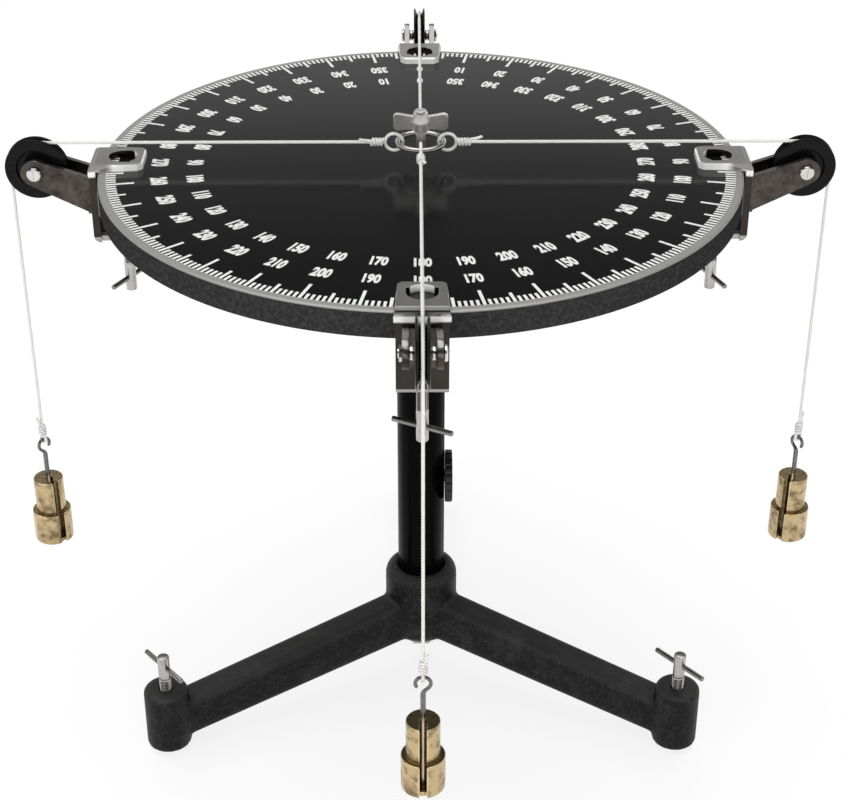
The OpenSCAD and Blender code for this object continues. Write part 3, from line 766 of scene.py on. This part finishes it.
addStrings(cordKit, cottonCord(cordLook))
print("strings tied")


# The table disc with its scale

tableKit = {
    "height": 386, "top": 385.9, "radius": 200, "edge": 1.2, "rimDepth": 17, "rimWidth": 28, "plate": 6,
    "bossRadius": 36, "bossDepth": 14, "hole": 3.05, "ribs": 6, "ribWidth": 6, "ribDepth": 6, "overlap": 1,
    "ease": 0.8, "steps": 360,
}


def addTable(kit, finish):
    top, radius, edge = kit["top"], kit["radius"], kit["edge"]
    low = kit["height"] - kit["rimDepth"]
    under = kit["height"] - kit["plate"]
    boss = kit["height"] - kit["bossDepth"]
    inner = radius - kit["rimWidth"]
    profile = [
        (kit["hole"], top), (radius - edge, top), (radius, top - edge), (radius, low + edge),
        (radius - edge, low), (inner, low), (inner, under),
        (kit["bossRadius"], under), (kit["bossRadius"], boss), (kit["hole"], boss),
    ]
    shape = lathe(eased(profile, kit["ease"]), kit["steps"])
    half, overlap = kit["ribWidth"] / 2, kit["overlap"]
    for k in range(kit["ribs"]):
        block(shape, (kit["bossRadius"] - overlap, -half, under - kit["ribDepth"]),
              (inner + overlap, half, under + overlap), (k + 0.5) * 360 / kit["ribs"])
    addPiece("tableDisc", toMesh("tableDisc", shape), finish, "table",
             replaced=["table_disc"], flats=True)


scaleKit = {
    "low": 385.85, "high": 386.0, "tickTo": 194.6,
    "tickFrom": {1: 188.6, 5: 184.0, 10: 177.5}, "tickWidth": {1: 1.75, 5: 1.9, 10: 1.9},
    "outerNumbers": 163, "innerNumbers": 141, "digitTall": 11.0, "squeeze": 0.55, "bold": 0.05,
}


def addScale(kit, finish):
    shape = bmesh.new()
    for degree in range(360):
        step = max(size for size in kit["tickFrom"] if degree % size == 0)
        half = kit["tickWidth"][step] / 2
        block(shape, (kit["tickFrom"][step], -half, kit["low"]), (kit["tickTo"], half, kit["high"]), degree)
    addPiece("scaleTicks", toMesh("scaleTicks", shape), finish, "table")
    shape = bmesh.new()
    for value in range(0, 360, 10):
        addNumber(shape, str(value), 90 - value, kit["outerNumbers"], kit)
        addNumber(shape, str(value), 90 + value, kit["innerNumbers"], kit)
    addPiece("scaleNumbers", toMesh("scaleNumbers", shape), finish, "table")


def addNumber(shape, digits, degree, radius, kit):
    # one number with its foot outwards, to be read from the edge
    text = bpy.data.curves.new("digits", "FONT")
    text.body = digits
    text.align_x = "CENTER"
    text.align_y = "CENTER"
    text.resolution_u = 3
    text.offset = kit["bold"]
    text.extrude = 0.5  # to each side, so 1 thick before it is scaled
    flat = settled(bpy.data.objects.new("digits", text))
    tall = max(v.co.y for v in flat.vertices) - min(v.co.y for v in flat.vertices)
    grow = kit["digitTall"] / tall
    thick = kit["high"] - kit["low"]
    middle = (kit["high"] + kit["low"]) / 2
    sit = turned(degree) @ Matrix.Translation((radius, 0, middle)) @ turned(90)
    flat.transform(sit @ Matrix.Diagonal((grow * kit["squeeze"], grow, thick, 1)))
    shape.from_mesh(flat)
    bpy.data.curves.remove(text)
    bpy.data.meshes.remove(flat)


addTable(tableKit, tableEnamel(tableLook))
addScale(scaleKit, scalePaint(paintLook))
print("table and scale made")


# The centre of the table: wing screw and ring

ringKit = {"height": 399.5, "radius": 14.25, "wire": 1.75, "around": 24, "steps": 120}
pinKit = {"voxel": 0.3, "passes": 5}


def addCentre(ring, pin):
    middle = upward * ring["height"]
    leftward = Vector((0, 1, 0))
    angles = roundAngles(ring["steps"])
    points = [middle + ring["radius"] * swung(outward, leftward, a) for a in angles]
    shape = tube(points, [ring["wire"]] * len(points), ring["around"], closed=True)
    addPiece("forceRing", toMesh("forceRing", shape), platings["nickel"], "table",
             replaced=["force_ring"])
    wing = castCopy("centre_pin", pin["voxel"], pin["passes"])
    addPiece("wingScrew", wing, platings["wingPlate"], "centre_pin", replaced=["centre_pin"])


addCentre(ringKit, pinKit)
print("ring and wing screw made")


# The rim stations: clamp, fork, axle and pulley

stationKit = {"clampEase": 0.5, "padEase": 0.5, "forkEase": 0.5, "axleEase": 0.35}
pulleyKit = {
    "out": 239.5, "height": 383, "bore": 2.55, "half": 4, "web": 2.3, "hub": 6.5, "rimIn": 12.1,
    "radius": 19.5, "edge": 0.6, "groove": 2.8, "floor": 1.4, "floorRadius": 15.1, "ease": 0.7, "steps": 144,
}


def wheelMesh(kit):
    half, web, radius, edge = kit["half"], kit["web"], kit["radius"], kit["edge"]
    upper = [
        (kit["bore"], half), (kit["hub"], half), (kit["hub"], web), (kit["rimIn"], web), (kit["rimIn"], half),
        (radius - edge, half), (radius, half - edge), (radius, kit["groove"]),
        (kit["floorRadius"], kit["floor"]),
    ]
    profile = upper + [(reach, -height) for reach, height in reversed(upper)]
    return toMesh("pulley", lathe(eased(profile, kit["ease"]), kit["steps"]))


def addStations(station, pulley):
    clampFinish = clampPlating(clampLook)
    forkFinish = forkPlating(forkLook)
    wheelFinish = pulleyBlack(wheelLook)
    wheel = wheelMesh(pulley)
    for side, angle in sides.items():
        easeEdges("clamp_" + side, station["clampEase"], clampFinish)
        easeEdges("clamp_pad_" + side, station["padEase"], platings["plainSteel"])
        easeEdges("fork_" + side, station["forkEase"], forkFinish)
        easeEdges("axle_" + side, station["axleEase"], platings["boltPlate"])
        place = turned(angle) @ shifted(pulley["out"], 0, pulley["height"]) @ turned(90, "X")
        addPiece("pulleyWheel_" + side, wheel.copy(), wheelFinish, "pulley_" + side, place,
                 ["pulley_" + side], flats=True)


addStations(stationKit, pulleyKit)
print("stations dressed")


# T-screws: four under the clamps, three in the feet

threadKit = {
    "pitch": 1.25, "depth": 0.62, "inside": 0.02, "shoulder": 0.4, "around": 32, "rowsPerTurn": 6,
    "fadeRows": 9, "tip": 2.5, "tipLength": 2, "ease": 0.6, "shankSteps": 64,
    "barEase": 1.1, "barEaseSteps": 5, "barSteps": 40,
}
clampScrewKit = {
    "radius": 3.5, "length": 67, "plain": 19, "barRadius": 1.6, "barLength": 38, "barAt": 9,
    "out": 187, "foot": 298,
    "turn": {"front": 63, "right": -68, "back": 40, "left": 61},
}
levelScrewKit = {
    "radius": 4, "length": 71, "plain": 17, "barRadius": 1.75, "barLength": 42, "barAt": 8,
    "out": 198, "top": 75, "barTurn": -50, "padEase": 0.6,
}


def screwMesh(name, kit, thread):
    # free end at 0 and tip upwards; the thread is cut into the far part
    radius, low, high = kit["radius"], kit["plain"], kit["length"]
    core, tip, end = radius - thread["depth"], thread["tip"], high + thread["tipLength"]
    profile = [
        (0, 0), (radius, 0), (radius, low), (core, low + thread["shoulder"]), (core, high),
        (tip, high), (tip, end), (0, end),
    ]
    shape = lathe(eased(profile, thread["ease"]), thread["shankSteps"])
    steps, fadeRows = thread["around"], thread["fadeRows"]
    count = round((high - low) / thread["pitch"] * thread["rowsPerTurn"])
    rows = []
    for row in range(count + 1):
        z = low + (high - low) * row / count
        fade = min(1, row / fadeRows, (count - row) / fadeRows)
        ring = []
        for k, a in enumerate(roundAngles(steps)):
            phase = (z / thread["pitch"] - k / steps) % 1
            crest = 1 - abs(2 * phase - 1)
            r = radius - thread["depth"] * (1 - crest) * fade - thread["inside"]
            ring.append(shape.verts.new((r * math.cos(a), r * math.sin(a), z)))
        rows.append(ring)
    skinCapped(shape, rows)
    return toMesh(name, shape)


def barMesh(name, kit, thread):
    radius, half = kit["barRadius"], kit["barLength"] / 2
    profile = [(0, -half), (radius, -half), (radius, half), (0, half)]
    profile = eased(profile, thread["barEase"], thread["barEaseSteps"])
    return toMesh(name, lathe(profile, thread["barSteps"]))


def addScrews(clamp, level, thread):
    nickel, darkSteel = platings["nickel"], platings["darkSteel"]
    for side, angle in sides.items():
        body = "clamp_screw_" + side
        place = turned(angle) @ shifted(clamp["out"], 0, clamp["foot"])
        mesh = screwMesh("clampScrew", clamp, thread)
        addPiece("clampScrew_" + side, mesh, nickel, body, place, [body])
        place = place @ shifted(0, 0, clamp["barAt"]) @ turned(clamp["turn"][side]) @ turned(90, "Y")
        addPiece("clampBar_" + side, barMesh("clampBar", clamp, thread), darkSteel, body, place)
    for foot, angle in feet.items():
        body = "level_screw_" + foot
        place = turned(angle) @ shifted(level["out"], 0, level["top"]) @ turned(180, "X")
        mesh = screwMesh("levelScrew", level, thread)
        addPiece("levelScrew_" + foot, mesh, nickel, body, place, [body])
        place = place @ shifted(0, 0, level["barAt"]) @ turned(angle - level["barTurn"]) @ turned(90, "Y")
        addPiece("levelBar_" + foot, barMesh("levelBar", level, thread), darkSteel, body, place)
        easeEdges("level_pad_" + foot, level["padEase"], platings["plainSteel"])


addScrews(clampScrewKit, levelScrewKit, threadKit)
print("screws threaded")


# Hangers and slotted weights

hangerKit = {
    "base": 102, "baseRadius": 7.5, "baseThick": 3, "baseEase": 0.6, "baseSteps": 72,
    "stem": 1.6, "stemFrom": 103, "stemTop": 171.5, "stemStep": 3, "around": 20,
    "swanOut": 2.6, "swanIn": 2.2, "swanSteps": 12, "thinBy": 1.6,  # the bend from the stem into the hook
    "hookMiddle": 179.5, "hookRadius": 4.4, "hookWire": 1.1, "hookFrom": -35, "hookTo": 208, "hookSteps": 44,
    "tipRound": ((0.45, 0.9), (0.8, 0.6), (0.95, 0.2)),  # reach and thickness, as shares of the wire's radius
}
weightKit = {
    "slot": 2.1, "ease": 0.9, "edgeRound": ((1, 0), (0.35, 0.12), (0.1, 0.4), (0, 1)),
    "around": 96, "slotAround": 16, "crease": 50,
    "lower": {"radius": 13, "low": 105, "high": 128}, "upper": {"radius": 10, "low": 128, "high": 153},
    "turn": {"front": 0, "right": -125, "back": 60, "left": 130},
}


def rodShape(across, kit):
    # stem, swan neck and open hook in one wire
    wire, stem = kit["hookWire"], kit["stem"]
    middle, ring = upward * kit["hookMiddle"], kit["hookRadius"]
    start, tip = math.radians(kit["hookFrom"]), math.radians(kit["hookTo"])
    foot = upward * kit["stemTop"]
    end = middle + ring * swung(across, upward, start)
    leave = foot + upward * kit["swanOut"]
    arrive = end - kit["swanIn"] * swung(upward, -across, start)
    points = evenly(upward * kit["stemFrom"], foot, kit["stemStep"])
    radii = [stem] * len(points)
    for k in range(1, kit["swanSteps"] + 1):
        t = k / kit["swanSteps"]
        points.append(foot * (1 - t) ** 3 + leave * (3 * t * (1 - t) ** 2)
                      + arrive * (3 * t * t * (1 - t)) + end * t ** 3)
        radii.append(stem + (wire - stem) * min(1, t * kit["thinBy"]))
    for k in range(1, kit["hookSteps"] + 1):
        points.append(middle + ring * swung(across, upward, start + (tip - start) * k / kit["hookSteps"]))
        radii.append(wire)
    last = points[-1]
    beyond = (last - points[-2]).normalized()
    for reach, share in kit["tipRound"]:
        points.append(last + beyond * reach * wire)
        radii.append(wire * share)
    return tube(points, radii, kit["around"])


def slotted(radius, half, height, kit):
    # a disc's outline with a slot from the middle out along +X
    start = math.asin(half / radius)
    sweep = 2 * (math.pi - start)
    rim = [start + sweep * k / kit["around"] for k in range(kit["around"] + 1)]
    slot = [-math.pi / 2 - math.pi * k / kit["slotAround"] for k in range(kit["slotAround"] + 1)]
    polar = [(radius, a) for a in rim] + [(half, a) for a in slot]
    return [Vector((r * math.cos(a), r * math.sin(a), height)) for r, a in polar]


def weightShape(size, turn, kit):
    high = size["high"] - size["low"]
    rows = [(inset * kit["ease"], up * kit["ease"]) for inset, up in kit["edgeRound"]]
    rows += [(inset, high - up) for inset, up in reversed(rows)]
    shape = loft([slotted(size["radius"] - inset, kit["slot"] + 0.5 * inset, up, kit) for inset, up in rows])
    bmesh.ops.transform(shape, matrix=turned(turn), verts=shape.verts)
    return shape


def addHangers(hanger, weight):
    wire = hangerSteel(hangerLook)
    wide, thick = hanger["baseRadius"], hanger["baseThick"]
    plate = eased([(0, 0), (wide, 0), (wide, thick), (0, thick)], hanger["baseEase"])
    for side, angle in sides.items():
        body = "hanger_" + side
        place = turned(angle) @ shifted(dropOut, 0, 0)
        across = turned(hookTurn[side] + 90) @ outward
        mesh = toMesh("hangerRod", rodShape(across, hanger))
        addPiece("hangerRod_" + side, mesh, wire, body, place, ["hanger_" + side])
        mesh = toMesh("hangerBase", lathe(plate, hanger["baseSteps"]))
        addPiece("hangerBase_" + side, mesh, brass, body,
                 place @ shifted(0, 0, hanger["base"]), flats=True)
        for level in ("lower", "upper"):
            shape = weightShape(weight[level], weight["turn"][side], weight)
            mesh = toMesh(level + "Weight", shape, weight["crease"])
            addPiece(level + "Weight_" + side, mesh, brass, body,
                     place @ shifted(0, 0, weight[level]["low"]), [level + "_weight_" + side], flats=True)


addHangers(hangerKit, weightKit)
print("hangers and weights made")


# The stand: tripod casting, pillar, spindle and lock

standKit = {"voxel": 1.3, "passes": 10, "pillarEase": 0.6, "knobEase": 0.5, "boltEase": 0.5}


def addStand(kit):
    casting = castCopy("tripod_base", kit["voxel"], kit["passes"])
    addPiece("tripodCasting", casting, castEnamel(castLook), "stand", replaced=["tripod_base"])
    easeEdges("pillar", kit["pillarEase"], tubeEnamel(tubeLook))
    easeEdges("lock_knob", kit["knobEase"], knobBlack(knobLook))
    for node in ("pillar_bolt", "table_spindle", "spindle_screws"):
        easeEdges(node, kit["boltEase"], platings["plainSteel"])
    easeEdges("lock_pad", kit["boltEase"], brass)


addStand(standKit)
print("stand made")


# Floor, world and lamps

studioKit = {
    "floorHalf": 9000, "floorShade": 0.8, "shownShade": 0.20, "glow": 0.81,
    "sky": ((0.0, 1.0), (0.3, 1.0), (0.345, 0.95), (0.38, 0.15), (0.42, 0.02), (0.75, 0.04), (1.0, 0.3)),
    "skyPower": 1.0,
    "key": {"height": 3000, "from": (-0.06, 0.18, 0.95), "strength": 2.4, "softness": 70},
    "fill": {"place": (-500, -2800, 1000), "aim": (0, 0, 250), "wide": 6.0, "tall": 3.0, "watts": 85},
}


def grey(shade):
    return (shade, shade, shade, 1)


def addFloor(kit):
    # pale paper that shows near white but lights the object as plain paper does
    shape = bmesh.new()
    half = kit["floorHalf"]
    corners = ((-half, -half), (half, -half), (half, half), (-half, half))
    shape.faces.new([shape.verts.new((x, y, 0)) for x, y in corners])
    floor = bpy.data.objects.new("floor", toMesh("floor", shape))
    bpy.context.scene.collection.objects.link(floor)
    f = newFinish("floorPaper")
    path = f.add("LightPath").socket.node
    seen = Wire(f, path.outputs["Is Camera Ray"]) + Wire(f, path.outputs["Is Glossy Ray"])
    seen = seen + Wire(f, path.outputs["Is Transmission Ray"])
    shown = f.add("AddShader", inputs={
        0: f.add("BsdfDiffuse", inputs={"Color": grey(kit["shownShade"])}),
        1: f.add("Emission", inputs={"Color": grey(1), "Strength": kit["glow"]}),
    })
    plain = f.add("BsdfDiffuse", inputs={"Color": grey(kit["floorShade"])})
    f.add("OutputMaterial", inputs={0: f.add("MixShader", inputs={0: seen, 1: plain, 2: shown})})
    floor.data.materials.append(f.owner)


def addWorld(kit):
    # white round the horizon, dark above
    world = bpy.data.worlds.new("studio")
    bpy.context.scene.world = world
    w = Finish(world)
    height = w.parts(w.add("TexCoord", out="Generated"))[2]
    sky = w.ramp(height, *kit["sky"])
    w.add("OutputWorld", inputs={0: w.add("Background", inputs={"Color": sky, "Strength": kit["skyPower"]})})


def addLamp(lamp, place, away, mirrored=True):
    holder = bpy.data.objects.new(lamp.name, lamp)
    holder.matrix_world = place @ away.to_track_quat("Z", "Y").to_matrix().to_4x4()
    holder.visible_camera = False
    holder.visible_glossy = mirrored
    bpy.context.scene.collection.objects.link(holder)


def addLamps(sun, panel):
    key = bpy.data.lights.new("keyLamp", "SUN")
    key.energy = sun["strength"]
    key.angle = math.radians(sun["softness"])
    addLamp(key, shifted(0, 0, sun["height"]), Vector(sun["from"]))
    fill = bpy.data.lights.new("fillLamp", "AREA")
    fill.shape = "RECTANGLE"
    fill.size = panel["wide"]
    fill.size_y = panel["tall"]
    fill.energy = panel["watts"]
    away = Vector(panel["place"]) - Vector(panel["aim"])
    addLamp(fill, shifted(*panel["place"]), away, mirrored=False)  # it would turn the disc grey from behind


addFloor(studioKit)
addWorld(studioKit)
addLamps(studioKit["key"], studioKit["fill"])
bpy.context.scene.view_settings.view_transform = "Standard"
print("studio lit")
